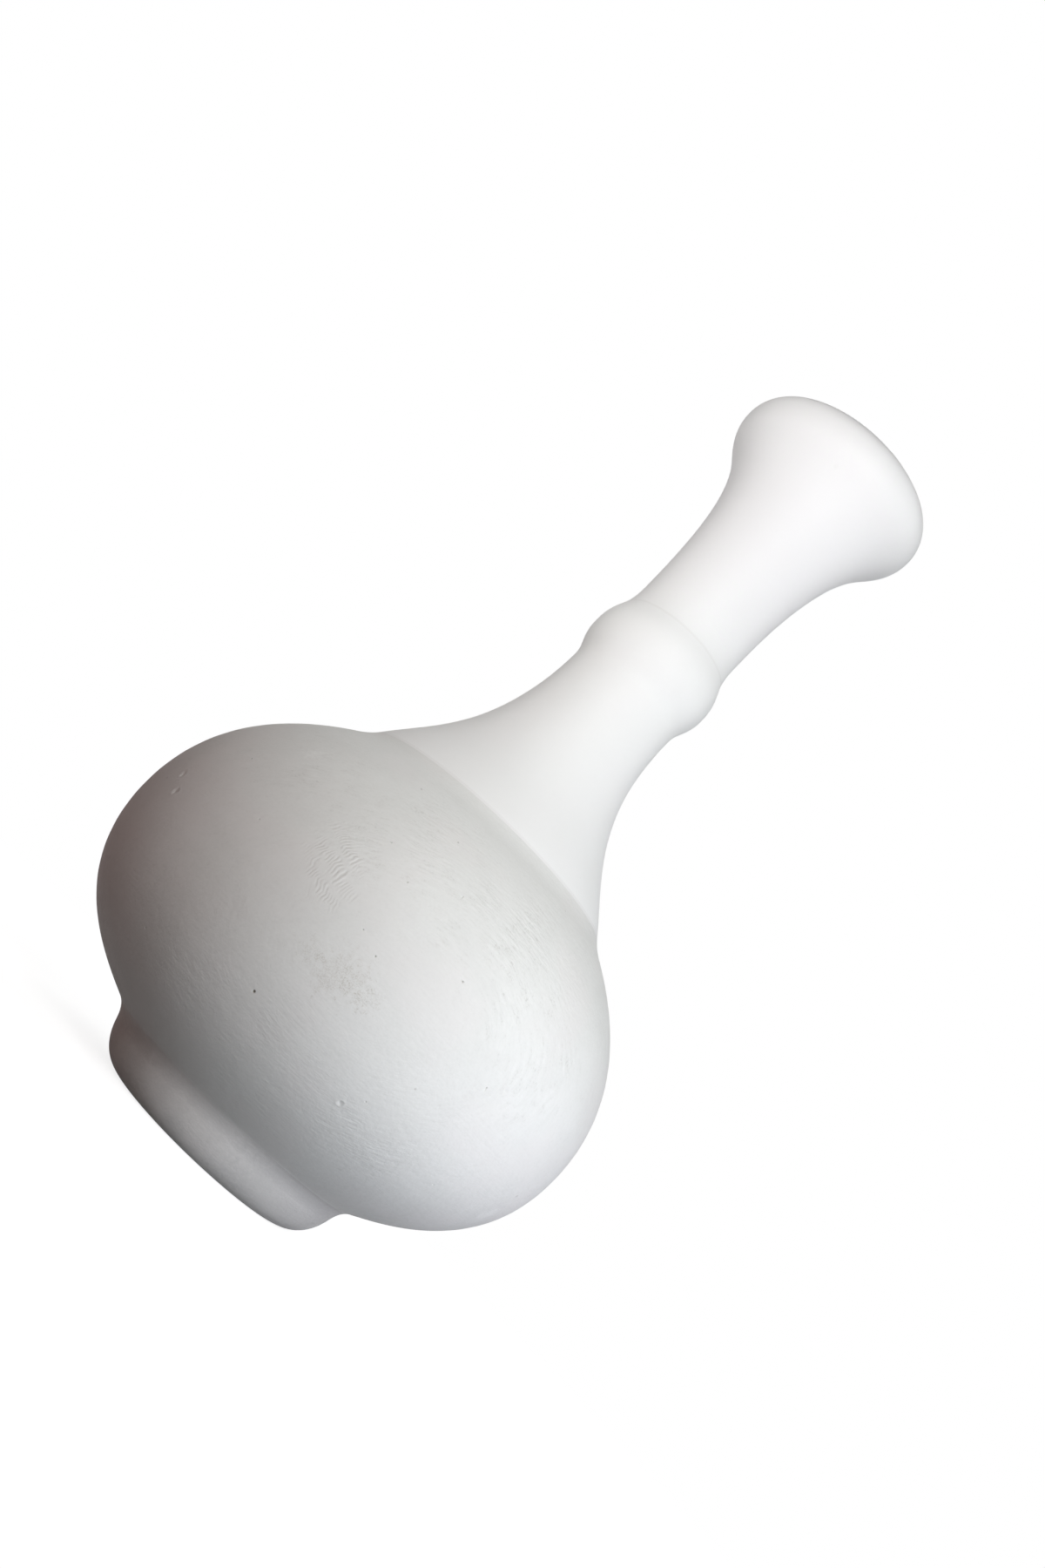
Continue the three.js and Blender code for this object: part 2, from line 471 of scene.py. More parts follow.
def linesOver(tree, place, travel, width, length, look):
    values = {"Vector": place, "Travel": travel, "Line Width": width, "Line Length": length}
    values.update({"Sway": look["sway"], "Patch Size": look["patchSize"]})
    return useGroup(tree, turningLines, values)


# How a brush pressed the soft clay, in all its strokes: how near their middle they fade out, how far
# their patches thin them, and where the noise starts and ends that breaks up the painted shade in the
# deepest of them.
brushing = {
    "fade": (3.0, 12.0),
    "patchShare": 0.75,
    "ragged": 0.2,
    "grooveShadeScale": 2600.0,
    "grooveShadeBreaks": (0.5, 0.66),
    "deepest": (0.36, 0.5),
}


def brushStrokes(tree, place, strokes):
    # Short strokes that bend round the middle of the bulb's side, in the zones where the brush pressed.
    height, turn = strokes["round"]
    angle = math.radians(turn)
    across = (-math.sin(angle), math.cos(angle), 0.0)
    aroundGap = vectorCalc(tree, "DOT_PRODUCT", place, across)
    upGap = minus(tree, parted(tree, place)[2], height * millimetre)
    slid = minus(tree, aroundGap, times(tree, upGap, strokes["skew"]))
    squashed = joined(tree, X=times(tree, slid, strokes["flatness"]), Y=upGap)
    away = vectorCalc(tree, "LENGTH", squashed)
    flat = joined(tree, X=aroundGap, Y=upGap)
    travel = times(tree, away, 1 / millimetre)
    rows = linesOver(tree, flat, travel, strokes["width"], strokes["length"], strokes)
    pressed = strokes["everywhere"]
    for zone in strokes["zones"]:
        wiped = maskOf(tree, place, zone, brushing["ragged"])
        pressed = calc(tree, "MAXIMUM", times(tree, wiped, zone["amount"]), pressed)
    near, far = brushing["fade"]
    pressed = times(tree, pressed, remap(tree, away, near * millimetre, far * millimetre))
    share = brushing["patchShare"]
    pressed = times(tree, pressed, plus(tree, times(tree, rows["Patches"], share), 1 - share))
    relief = times(tree, minus(tree, rows["Lines"], 0.5), pressed)
    # The deepest parts of the lines are painted darker, as painted shade, broken up by a fine noise.
    grooveShadeNoise = noiseAt(tree, scaled(tree, place, brushing["grooveShadeScale"]), 1.0, detail=1.0)
    grooveShadeBreaks = remap(tree, grooveShadeNoise, *brushing["grooveShadeBreaks"])
    grooveShade = times(tree, remap(tree, rows["Lines"], *brushing["deepest"], 1.0, 0.0), grooveShadeBreaks)
    return relief, times(tree, times(tree, grooveShade, pressed), strokes["grooveShade"])


# What all the fired clays here have in common. The range is the part of a noise's values that shows.
fired = {
    "range": (0.3, 0.7),
    "betweenPatches": 0.2,
    "dusted": 0.12,
    "blotchRange": (0.42, 0.68),
    "rubbing": (900.0, 900.0, 60.0),
    "rippleCrestHighlight": 0.6,
    "rippleHollowShade": -0.4,
    "dotScale": 5200.0,
    "dotRange": (0.42, 0.66),
    "roughnessSpread": 0.05,
    "specular": 0.25,
}


def clayColour(tree, place, look, grain, lineRelief, grooveShade):
    # Two tints mottled together, then speckles, dust with a painted highlight on the raised lines,
    # blotches, rubbed streaks, painted highlight and shade on the ripples, and pits and pores painted
    # dark as shade.
    low, high = fired["range"]
    colour = mixColour(tree, remap(tree, grain["Mottle"], low, high), look["tint"], look["shade"])
    speckle = remap(tree, grain["Grain"], low, high, smooth=False)
    colour = mixColour(tree, times(tree, speckle, look["speckle"]), colour, look["speckleAndShadeColour"])
    # The lines' crests are painted lighter: an even dust, and a painted highlight where they rise.
    dustAndCrestHighlight = times(tree, plus(tree, lineRelief, fired["dusted"]), look["lineDustAndHighlight"], clamp=True)
    colour = mixColour(tree, dustAndCrestHighlight, colour, look["dustAndHighlight"])
    # Painted shade in the deepest brushed lines, in the speckles' dark colour.
    if grooveShade:
        colour = mixColour(tree, grooveShade, colour, look["speckleAndShadeColour"])
    blotches = noiseAt(tree, spaced(tree, place, look["blotchSize"]), 1.0)
    blotched = remap(tree, blotches, *fired["blotchRange"], 0.0, look["blotches"])
    colour = mixColour(tree, blotched, colour, look["blush"])
    rubbed = noiseAt(tree, vectorCalc(tree, "MULTIPLY", place, fired["rubbing"]), 1.0)
    colour = mixColour(tree, times(tree, rubbed, look["rubbed"], clamp=True), colour, look["shade"])
    # The ripples' crests are painted lighter and their hollows darker: painted highlight and painted
    # shade.
    ripple = attributeAt(tree, "ripple")
    colour = mixColour(tree, times(tree, ripple, fired["rippleCrestHighlight"], clamp=True), colour, look["dustAndHighlight"])
    hollowShade = times(tree, ripple, fired["rippleHollowShade"], clamp=True)
    colour = mixColour(tree, hollowShade, colour, look["speckleAndShadeColour"])
    # Pits and pores are painted dark: painted shade in their hollows.
    pits = times(tree, grain["Pits"], look["pitShade"])
    pitAndPoreShade = calc(tree, "MAXIMUM", pits, attributeAt(tree, "poreShade"))
    return mixColour(tree, pitAndPoreShade, colour, look["pitAndPoreShadeColour"])


def markedColour(tree, place, colour, marks):
    # Smudges and scuffs from handling, and on the foot painted shade and painted light. A fine one is
    # made up of dots smaller than the grain.
    dots = remap(tree, noiseAt(tree, scaled(tree, place, fired["dotScale"]), 1.0), *fired["dotRange"])
    for mark in marks:
        amount = times(tree, maskOf(tree, place, mark, mark["ragged"]), mark["amount"])
        if mark["fine"]:
            amount = times(tree, amount, dots)
        colour = mixColour(tree, amount, colour, mark["colour"])
    return colour


def clayHeight(tree, place, look, grain, lineRelief):
    # The relief of lines, grain, pits and soft lumps, in millimetres.
    height = times(tree, lineRelief, look["lineDepth"])
    height = plus(tree, height, times(tree, grain["Grain"], look["grainDepth"]))
    height = minus(tree, height, times(tree, grain["Pits"], look["pitDepth"]))
    lumps = noiseAt(tree, spaced(tree, place, look["lumpSize"]), 1.0)
    return plus(tree, height, times(tree, lumps, look["lumpDepth"]))


def bisque(name, look):
    # Dry fired clay with a rough finish.
    material = bpy.data.materials.new(name)
    tree = clearedTree(material)
    place = addNode(tree, "ShaderNodeTexCoord").outputs["Object"]
    values = {"Vector": place, "Grain Size": look["grainSize"], "Mottle Size": look["mottleSize"]}
    values["Pit Spacing"] = look["pitSpacing"]
    grain = useGroup(tree, clayGrain, values)
    travel = attributeAt(tree, "travel")
    lines = linesOver(tree, place, travel, look["lineWidth"], look["lineLength"], look)
    strength = times(tree, plus(tree, lines["Patches"], fired["betweenPatches"]), look["lineStrength"])
    lineRelief = times(tree, minus(tree, lines["Lines"], 0.5), strength)
    grooveShade = None
    if look["strokes"]:
        worked, grooveShade = brushStrokes(tree, place, look["strokes"])
        lineRelief = plus(tree, lineRelief, worked)
    colour = clayColour(tree, place, look, grain, lineRelief, grooveShade)
    colour = markedColour(tree, place, colour, look["marks"])
    height = clayHeight(tree, place, look, grain, lineRelief)
    bump = fed(tree, "ShaderNodeBump", {"Strength": 1.0, "Distance": millimetre, "Height": height})
    spread = fired["roughnessSpread"]
    smoothest, roughest = look["roughness"] - spread, look["roughness"] + spread
    roughness = remap(tree, grain["Grain"], *fired["range"], smoothest, roughest)
    values = {"Base Color": colour, "Roughness": roughness, "Specular IOR Level": fired["specular"]}
    surface = fed(tree, "ShaderNodeBsdfPrincipled", dict(values, Normal=bump))
    feed(addNode(tree, "ShaderNodeOutputMaterial"), {"Surface": surface})
    return material


def colourPatch(at, width, ragged, amount, colour, fine=False):
    # A patch of colour: the bulb's marks of handling and the foot's painted shade and painted light. It
    # takes the height, turn and radius of its middle, and its width in millimetres.
    return dict(at=at, width=width, ragged=ragged, amount=amount, colour=colour, fine=fine)


brown = (0.44, 0.40, 0.34, 1)
pale = (0.9, 0.9, 0.88, 1)
bulbLook = {
    "tint": (0.78, 0.778, 0.76, 1),
    "shade": (0.75, 0.748, 0.73, 1),
    "dustAndHighlight": (0.868, 0.866, 0.852, 1),
    "lineDustAndHighlight": 0.8,
    "pitAndPoreShadeColour": (0.28, 0.25, 0.22, 1),
    "pitShade": 0.25,
    "pitDepth": 0.02,
    "speckle": 0.07,
    "speckleAndShadeColour": (0.42, 0.40, 0.37, 1),
    "pitSpacing": 6.0,
    "grainSize": 0.44,
    "grainDepth": 0.024,
    "lumpSize": 1.3,
    "lumpDepth": 0.055,
    "mottleSize": 11.0,
    "blotchSize": 13.0,
    "blotches": 0.35,
    "blush": (0.785, 0.757, 0.745, 1),
    "rubbed": 0.0,
    "lineWidth": 0.5,
    "lineLength": 5.0,
    "lineDepth": 0.1,
    "lineStrength": 0.3,
    "sway": 1.2,
    "patchSize": 14.0,
    "roughness": 0.9,
    "strokes": {
        "round": (37.0, -84),
        "flatness": 0.64,
        "skew": 0.3,
        "width": 0.44,
        "length": 2.2,
        "sway": 0.8,
        "patchSize": 7.0,
        "grooveShade": 0.16,
        "everywhere": 0.5,
        "zones": [
            dict(at=(53, -69, 44), width=38.0, amount=2.1),
            dict(at=(45, -50, 47), width=26.0, amount=1.8),
            dict(at=(56, -98, 42), width=34.0, amount=1.5),
            dict(at=(53, -122, 43), width=22.0, amount=1.5),
            dict(at=(18, -65, 38), width=28.0, amount=1.2),
            dict(at=(25, -92, 43), width=18.0, amount=0.9),
            dict(at=(48, 60, 46), width=34.0, amount=1.8),
            dict(at=(24, 110, 43), width=30.0, amount=1.2),
            dict(at=(50, 150, 46), width=30.0, amount=1.5),
        ],
    },
    "marks": [
        colourPatch((34.5, -91.5, 48), 9.0, ragged=0.8, amount=0.06, colour=brown),
        colourPatch((34.2, -92.5, 48), 7.0, ragged=1.0, amount=0.24, colour=brown, fine=True),
        colourPatch((34.8, -88.5, 48), 5.5, ragged=1.0, amount=0.24, colour=brown, fine=True),
        colourPatch((35.0, -85, 48), 4.0, ragged=1.0, amount=0.18, colour=brown, fine=True),
        colourPatch((34.0, -98, 48), 4.5, ragged=1.0, amount=0.18, colour=brown, fine=True),
        colourPatch((22.1, -76.3, 42), 0.9, ragged=0.2, amount=0.7, colour=(0.93, 0.93, 0.91, 1)),
        colourPatch((56.5, -131.7, 42), 4.0, ragged=0.7, amount=0.25, colour=pale),
        colourPatch((24.5, -26.2, 45), 5.0, ragged=0.4, amount=0.4, colour=pale),
    ],
}
neckLook = {
    "tint": (0.88, 0.876, 0.867, 1),
    "shade": (0.865, 0.861, 0.852, 1),
    "dustAndHighlight": (0.885, 0.881, 0.872, 1),
    "lineDustAndHighlight": 0.3,
    "pitAndPoreShadeColour": (0.5, 0.48, 0.45, 1),
    "pitShade": 0.1,
    "pitDepth": 0.015,
    "speckle": 0.025,
    "speckleAndShadeColour": (0.5, 0.48, 0.45, 1),
    "pitSpacing": 9.0,
    "grainSize": 0.3,
    "grainDepth": 0.01,
    "lumpSize": 3.0,
    "lumpDepth": 0.03,
    "mottleSize": 14.0,
    "blotchSize": 16.0,
    "blotches": 0.3,
    "blush": (0.875, 0.852, 0.853, 1),
    "rubbed": 0.5,
    "lineWidth": 0.8,
    "lineLength": 12.0,
    "lineDepth": 0.012,
    "lineStrength": 0.7,
    "sway": 1.0,
    "patchSize": 25.0,
    "roughness": 0.86,
    "strokes": None,
    "marks": [
        colourPatch((152.0, 0, 0), 76.0, ragged=0.3, amount=0.8, colour=(0.872, 0.853, 0.864, 1)),
    ],
}
footLook = dict(
    bulbLook,
    tint=(0.775, 0.758, 0.738, 1),
    shade=(0.725, 0.71, 0.695, 1),
    mottleSize=4.0,
    grainDepth=0.03,
    speckle=0.1,
    lineLength=2.5,
    lineStrength=0.3,
    patchSize=7.0,
    strokes=None,
    marks=[
        # Painted shade: a wide patch of the foot darkened.
        colourPatch((4.0, -45, 24), 34.0, ragged=0.3, amount=0.5, colour=(0.56, 0.55, 0.54, 1)),
        # Painted light: a patch at the foot's other end lightened.
        colourPatch((4.0, -155, 24), 16.0, ragged=0.4, amount=0.4, colour=(0.88, 0.85, 0.81, 1)),
    ],
)
slipLook = dict(
    neckLook,
    tint=(0.845, 0.836, 0.828, 1),
    shade=(0.825, 0.816, 0.808, 1),
    grainDepth=0.02,
    rubbed=0.0,
    marks=[],
)
bulbClay = bisque("bisque_body", bulbLook)
neckClay = bisque("bisque_neck", neckLook)
footClay = bisque("bisque_foot", footLook)
slipClay = bisque("dry_slip", slipLook)
print("materials made")

# Stations on the outside of the vase from the ground to the rim, smoothed over after joining.
wall = {
    "stand": (18.7, 0.0),
    "footTop": (24.81, 7.47),
    "groove": (25.2, 8.23),
    "belly": (48.15, 37.3),
    "shoulder": (27.93, 68.44),
    "throat": (11.8, 106.8),
    "knop": (13.5, 114.3),
    "collar": (11.88, 120.9),
    "waist": (11.3, 127.1),
    "rim": (21.1, 166.2),
}
# Each run between two of them: direction and pull where it leaves and where it arrives, and its steps.
wallRuns = [
    ("stand", outwards, 0.04, "footTop", 80.4, 0.74, 36),
    ("footTop", 63, 0.3, "groove", 63, 0.3, 1),
    ("groove", 25.3, 0.23, "belly", upwards, 0.52, 60),
    ("belly", upwards, 0.43, "shoulder", inwards - 32.2, 0.29, 60),
    ("shoulder", inwards - 58, 0.25, "throat", upwards, 0.54, 60),
    ("throat", upwards, 0.40, "knop", upwards, 0.48, 18),
    ("knop", upwards, 0.39, "collar", inwards - 67, 0.5, 18),
    ("collar", inwards - 74, 0.4, "waist", upwards, 0.2, 14),
    ("waist", upwards, 0.87, "rim", upwards, 0.19, 60),
]
# Corners that slip fills: how far the ease reaches before and after the station, and its steps.
wallEases = {"groove": (2.48, 1.9, 7), "shoulder": (3.4, 2.6, 9), "collar": (0.9, 0.5, 5)}
joints = {"foot": (8.2, 8.7), "shoulder": (69.8, 70.3), "collar": (120.6, 121.1)}


def smoothWall():
    outline = [Vector(wall["stand"])]
    for start, leaving, startPull, end, arriving, endPull, steps in wallRuns:
        run = sweep(wall[start], leaving, startPull, wall[end], arriving, endPull, steps)
        if start in wallEases:
            outline = eased(outline, run, *wallEases[start])
        else:
            outline += run[1:]
    return outline


outerWall = smoothWall()
wallHeights = [p.y for p in outerWall]
wallRadii = [p.x for p in outerWall]

foot = {
    "turnSteps": 300,
    "standInner": 16.4,
    "hollowTop": 14.2,
    "hollowWall": (15.2, 1.2),
    "hollowEase": 0.3,
    "standEase": 0.25,
    "seamReach": 4,
}


def turnFoot():
    seatHeight = joints["foot"][0]
    side = stretch(outerWall, 0.0, seatHeight)
    edge = (foot["hollowTop"], seatHeight)
    seam = (foot["hollowTop"] + foot["seamReach"], seatHeight)
    outline = joinRuns(
        straight(seam, edge, 4),
        foot["hollowEase"],
        straight(edge, foot["hollowWall"], 10),
        quarterRound(foot["hollowWall"], False, (foot["standInner"], 0), 6),
        straight((foot["standInner"], 0), wall["stand"], 4),
        foot["standEase"],
        [Vector(wall["stand"])] + side[1:],
        straight(side[-1], seam, 8),
    )
    return turnPiece("foot_ring_turned", outline, foot, footClay)


# Ridges: their height outside and inside, the band of the wall that counts as outside, the heights
# between which they show, and the rise over which they fade.
bulb = {
    "turnSteps": 380,
    "outerRidge": 0.02,
    "innerRidge": 0.16,
    "outerBand": 1,
    "ridgesFrom": 12,
    "ridgesTo": 64,
    "ridgesFade": 8,
    "stepRadius": 13.8,
    "stepBase": 6.8,
    "stepEase": 0.3,
    "seatInner": 23.5,
    "seatEase": 0.2,
    "hollowTop": 67.3,
    "hollowEase": 0.3,
    "hollowSlope": 37,
    "hollowBelly": (44.3, 37.3),
    "floor": 13.1,
    "upperPulls": (0.34, 0.43),
    "lowerPulls": (0.34, 0.54),
}


# Marks left in the bulb while it was soft: height and turn of each, and its width in millimetres.
# An open pore is painted dark inside, as shade in its hole; a dent is shallow and clean, with a little
# clay pushed up round it.
# A low softness gives steep sides, and a high one sides that fade out.
pores = {
    "at": [
        (24.9, -100.7), (63.6, -110.8), (50.4, -94.6), (41.1, -94.1), (39.6, -89.6), (60.7, -93.8),
        (54.7, -85.3), (45.6, -75.6), (20.5, -128.6), (22.4, -48.1), (24.5, -72.9), (37.4, -59.1),
        (42.7, -122.3), (49.2, -138.2), (53.2, -102.3), (31.0, 20.0), (52.0, 64.0), (44.0, 118.0),
        (27.5, 151.0), (58.0, -178.0), (35.0, 75.0), (47.5, 160.0), (23.0, 95.0),
    ],
    "widths": [0.48, 0.34, 0.26, 0.22, 0.26, 0.34, 0.24, 0.26, 0.28, 0.26, 0.24, 0.24, 0.26, 0.3, 0.24],
    "shades": [1.0, 0.6, 0.3, 0.25, 0.25, 0.5, 0.3, 0.25, 0.3, 0.3, 0.25, 0.3, 0.25, 0.3, 0.25],
    "depth": 0.3,
    "softness": 0.5,
    "darkening": 1.5,
}
dents = {
    "at": [(40.6, -147.9), (37.9, -144.5), (22.0, -75.7), (39.0, -55.5), (47.0, 40.0), (30.0, 98.0)],
    "widths": [1.6, 1.3, 0.9, 1.0, 1.3, 1.6],
    "depth": 0.12,
    "softness": 1.5,
    "rim": 0.3,
    "rimWidth": 0.7,
    "ragged": 0.55,
    "raggedFineness": 1.4,
    "raggedReach": 3,
    "raggedStep": 7,
}
# Two rounds of finer faces at each mark, wide and then close in: the share of its width and the margin
# that they reach, and their cuts.
finerRounds = [(1.0, 0.3, 3), (0.62, 0.15, 2)]
# A patch of fine ripples where the soft clay was held: where it is, where its arcs centre, how far it
# reaches round the bulb and up it, and the spacing and length of its broken ridges. Tears, swaying,
# breaks and jogs are noises, each an amount and a fineness.
ripples = {
    "at": (45.0, -106.0),
    "centre": (43.5, -90.0),
    "reach": 8.0,
    "margin": 0.3,
    "halfAround": 6.6,
    "halfUp": 5.4,
    "edge": 0.35,
    "tears": [(0.35, 0.4), (0.2, 1.1)],
    "slant": -0.35,
    "spacing": 0.54,
    "length": 1.0,
    "sway": (0.6, 0.35),
    "shown": 0.55,
    "breaks": (1.7, 0.9),
    "jogs": (0.5, 0.3),
    "rows": 3.0,
    "rowDepth": 0.7,
    "rowSway": (0.3, 0.6),
    "depth": 0.03,
    "breakSeed": 4.0,
    "jogSeed": 9.0,
    "cuts": 4,
}


def onWall(height, turn):
    # The point on the finished wall, in metres.
    radius = float(np.interp(height, wallHeights, wallRadii))
    angle = math.radians(turn)
    sideways = radius * math.cos(angle) + leanAt(height)
    return Vector((sideways, radius * math.sin(angle), height)) * millimetre


def refine(work, middle, reach, cuts):
    # Finer faces within reach of a point, curved as the wall is.
    near = [f for f in work.faces if (f.verts[0].co - middle).length < reach + millimetre]
    near = [f for f in near if (f.calc_center_median() - middle).length < reach]
    edges = list({e for f in near for e in f.edges})
    bmesh.ops.subdivide_edges(
        work,
        edges=edges,
        cuts=cuts,
        use_grid_fill=True,
        smooth=1.0,
        smooth_falloff="LINEAR",
        use_smooth_even=True,
    )


def noisy(amountAndFineness, place):
    amount, fineness = amountAndFineness
    return amount * noise.noise(place * fineness)


def rippleAt(place, away, fromCentre, around):
    # The ripples' relief at a place, as a share of their depth.
    alongBand = away.dot(around)
    acrossBand = away.z - ripples["slant"] * alongBand
    torn = math.hypot(alongBand / ripples["halfAround"], acrossBand / ripples["halfUp"])
    for tear in ripples["tears"]:
        torn += noisy(tear, place)
    mask = clamped((1.0 - torn) / ripples["edge"])
    row = (fromCentre.length + noisy(ripples["sway"], place)) / ripples["spacing"]
    # The ridges are broken: each row comes and goes along its own length.
    arc = math.atan2(fromCentre.z, -fromCentre.dot(around)) * fromCentre.length
    along = arc / ripples["length"]
    breaks, breakFineness = ripples["breaks"]
    broken = breaks * noise.noise(Vector((row * breakFineness, along, ripples["breakSeed"])))
    bandRow = acrossBand / ripples["rows"] + noisy(ripples["rowSway"], place)
    broken += ripples["rowDepth"] * math.cos(2 * math.pi * bandRow)
    jogs, jogFineness = ripples["jogs"]
    jog = jogs * noise.noise(Vector((row * jogFineness, along, ripples["jogSeed"])))
    return mask * clamped(ripples["shown"] + broken) * math.sin(2 * math.pi * (row + jog))


def pressRipples(work):
    middle, centre = onWall(*ripples["at"]), onWall(*ripples["centre"])
    turn = math.radians(ripples["at"][1])
    around = Vector((-math.sin(turn), math.cos(turn), 0))
    waves = work.verts.layers.float.new("ripple")
    refine(work, middle, ripples["reach"] * millimetre, ripples["cuts"])
    work.normal_update()
    moves = []
    for vertex in work.verts:
        away = (vertex.co - middle) / millimetre
        if away.length < ripples["reach"] - ripples["margin"]:
            fromCentre = (vertex.co - centre) / millimetre
            moves.append((vertex, rippleAt(vertex.co / millimetre, away, fromCentre, around)))
    for vertex, wave in moves:
        vertex[waves] = wave
        vertex.co += vertex.normal * wave * ripples["depth"] * millimetre


def pressMark(work, poreShadeLayer, at, width, kind, dark):
    # A pore is painted dark, as shade in its hole; a dent is not, and has a ragged outline and a raised
    # rim.
    middle = onWall(*at)
    for part, margin, cuts in finerRounds:
        refine(work, middle, (width * part + margin) * millimetre, cuts)
    work.normal_update()
    into = min(work.verts, key=lambda v: (v.co - middle).length).normal * -1
    shift = Vector((0, 0, width * dents["raggedStep"]))
    for vertex in work.verts:
        share = (vertex.co - middle).length / (width * millimetre / 2)
        if share < dents["raggedReach"] and not dark:
            rag = noise.noise(vertex.co / millimetre * dents["raggedFineness"] + shift)
            share *= 1 + dents["ragged"] * rag
        if share < 1:
            sink = (1 - share * share) ** kind["softness"]
            vertex[poreShadeLayer] = max(vertex[poreShadeLayer], dark * min(1.0, sink * pores["darkening"]))
            vertex.co += into * kind["depth"] * sink * millimetre
        elif share < 1 + dents["rimWidth"] and not dark:
            swell = math.sin(math.pi * (share - 1) / dents["rimWidth"])
            vertex.co -= into * kind["depth"] * dents["rim"] * swell * millimetre


def pressMarks(piece):
    work = bmesh.new()
    work.from_mesh(piece.data)
    pressRipples(work)
    poreShadeLayer = work.verts.layers.float.new("poreShade")
    for i, at in enumerate(pores["at"]):
        turnOf = i % len(pores["widths"])
        pressMark(work, poreShadeLayer, at, pores["widths"][turnOf], pores, pores["shades"][turnOf])
    for at, width in zip(dents["at"], dents["widths"]):
        pressMark(work, poreShadeLayer, at, width, dents, 0.0)
    bmesh.ops.triangulate(work, faces=[f for f in work.faces if len(f.verts) > 4])
    work.to_mesh(piece.data)
    work.free()
    triangles = sum(len(f.vertices) - 2 for f in piece.data.polygons)
    print("marks pressed into", piece.name, triangles, "triangles")


def bulbRidge(place):
    # Fades out at both joints, stronger inside than out.
    climbing = (place.y - bulb["ridgesFrom"]) / bulb["ridgesFade"]
    falling = (bulb["ridgesTo"] - place.y) / bulb["ridgesFade"]
    outer = np.interp(place.y, wallHeights, wallRadii)
    ridge = bulb["outerRidge"] if place.x > outer - bulb["outerBand"] else bulb["innerRidge"]
    return min(clamped(climbing), clamped(falling)) * ridge


def turnBulb():
    base, top = joints["foot"][1], joints["shoulder"][0]
    step, stepBase, seat = bulb["stepRadius"], bulb["stepBase"], bulb["seatInner"]
    hollow, belly, floorMiddle = (seat, bulb["hollowTop"]), bulb["hollowBelly"], (0, bulb["floor"])
    leaving, arriving = bulb["upperPulls"]
    upper = sweep(hollow, -bulb["hollowSlope"], leaving, belly, downwards, arriving, 16)
    leaving, arriving = bulb["lowerPulls"]
    lower = sweep(belly, downwards, leaving, floorMiddle, inwards, arriving, 20)
    side = stretch(outerWall, base, top)
    outline = joinRuns(
        straight((0, stepBase), (step, stepBase), 4),
        bulb["stepEase"],
        straight((step, stepBase), (step, base), 1),
        straight((step, base), side[0], 4),
        side,
        straight(side[-1], (seat, top), 2),
        bulb["seatEase"],
        straight((seat, top), hollow, 1),
        bulb["hollowEase"],
        upper,
        lower,
    )
    piece = turnPiece("bulb_turned", outline, bulb, bulbClay, bulbRidge)
    pressMarks(piece)
    return piece


flute = {
    "turnSteps": 300,
    "tongueRadius": 23.1,
    "tongueFoot": 67.7,
    "socketRadius": 10.0,
    "socketFloor": 118.4,
    "bore": 8.0,
    "innerSkirt": 20.1,
    "innerSlope": 80,
    "tongueEase": 0.3,
    "seatEase": 0.15,
    "boreEase": 0.2,
    "skirtEase": 0.4,
    "skirtPulls": (0.44, 0.27),
    "seamReach": 1.5,
}


def turnFlute():
    tongue, tongueFoot, bore = flute["tongueRadius"], flute["tongueFoot"], flute["bore"]
    socket, socketFloor = flute["socketRadius"], flute["socketFloor"]
    seam, innerSkirt = (tongue - flute["seamReach"], tongueFoot), (flute["innerSkirt"], tongueFoot)
    throat, slope = (bore, wall["throat"][1]), -flute["innerSlope"]
    leaving, arriving = flute["skirtPulls"]
    base, top = joints["shoulder"][1], joints["collar"][0]
    side = stretch(outerWall, base, top)
    outline = joinRuns(
        straight(seam, (tongue, tongueFoot), 2),
        flute["tongueEase"],
        straight((tongue, tongueFoot), (tongue, base), 3),
        straight((tongue, base), side[0], 4),
        side,
        straight(side[-1], (socket, top), 3),
        flute["seatEase"],
        straight((socket, top), (socket, socketFloor), 3),
        straight((socket, socketFloor), (bore, socketFloor), 2),
        flute["boreEase"],
        straight((bore, socketFloor), throat, 6),
        sweep(throat, downwards, leaving, innerSkirt, slope, arriving, 30),
        flute["skirtEase"],
        straight(innerSkirt, seam, 2),
    )
    return turnPiece("flute_turned", outline, flute, neckClay)


mouth = {
    "turnSteps": 300,
    "tongueRadius": 9.6,
    "tongueFoot": 118.8,
    "crest": (18.1, 170.0),
    "innerLip": (16.8, 168.7),
    "bore": 8.0,
    "tongueEase": 0.25,
    "bellPulls": (0.1, 0.8),
}


def turnMouth():
    tongue, tongueFoot, bore = mouth["tongueRadius"], mouth["tongueFoot"], mouth["bore"]
    base, waist = joints["collar"][1], (bore, wall["waist"][1])
    leaving, arriving = mouth["bellPulls"]
    side = stretch(outerWall, base, wall["rim"][1])
    outline = joinRuns(
        straight((bore, tongueFoot), (tongue, tongueFoot), 2),
        mouth["tongueEase"],
        straight((tongue, tongueFoot), (tongue, base), 3),
        straight((tongue, base), side[0], 3),
        side,
        quarterRound(wall["rim"], False, mouth["crest"], 16),
        quarterRound(mouth["crest"], True, mouth["innerLip"], 8),
        sweep(mouth["innerLip"], downwards, leaving, waist, downwards, arriving, 44),
        straight(waist, (bore, tongueFoot), 6),
    )
    return turnPiece("mouth_turned", outline, mouth, neckClay)


slip = {"turnSteps": 360}


def turnSlip(name, inner, joint, material):
    # The slip's outer face is flush with the wall on both sides.
    base, top = joint
    face = stretch(outerWall, base, top)
    outline = joinRuns(
        straight((inner, base), face[0], 3),
        face,
        straight(face[-1], (inner, top), 3),
        straight((inner, top), (inner, base), 1),
    )
    return turnPiece(name, outline, slip, material)


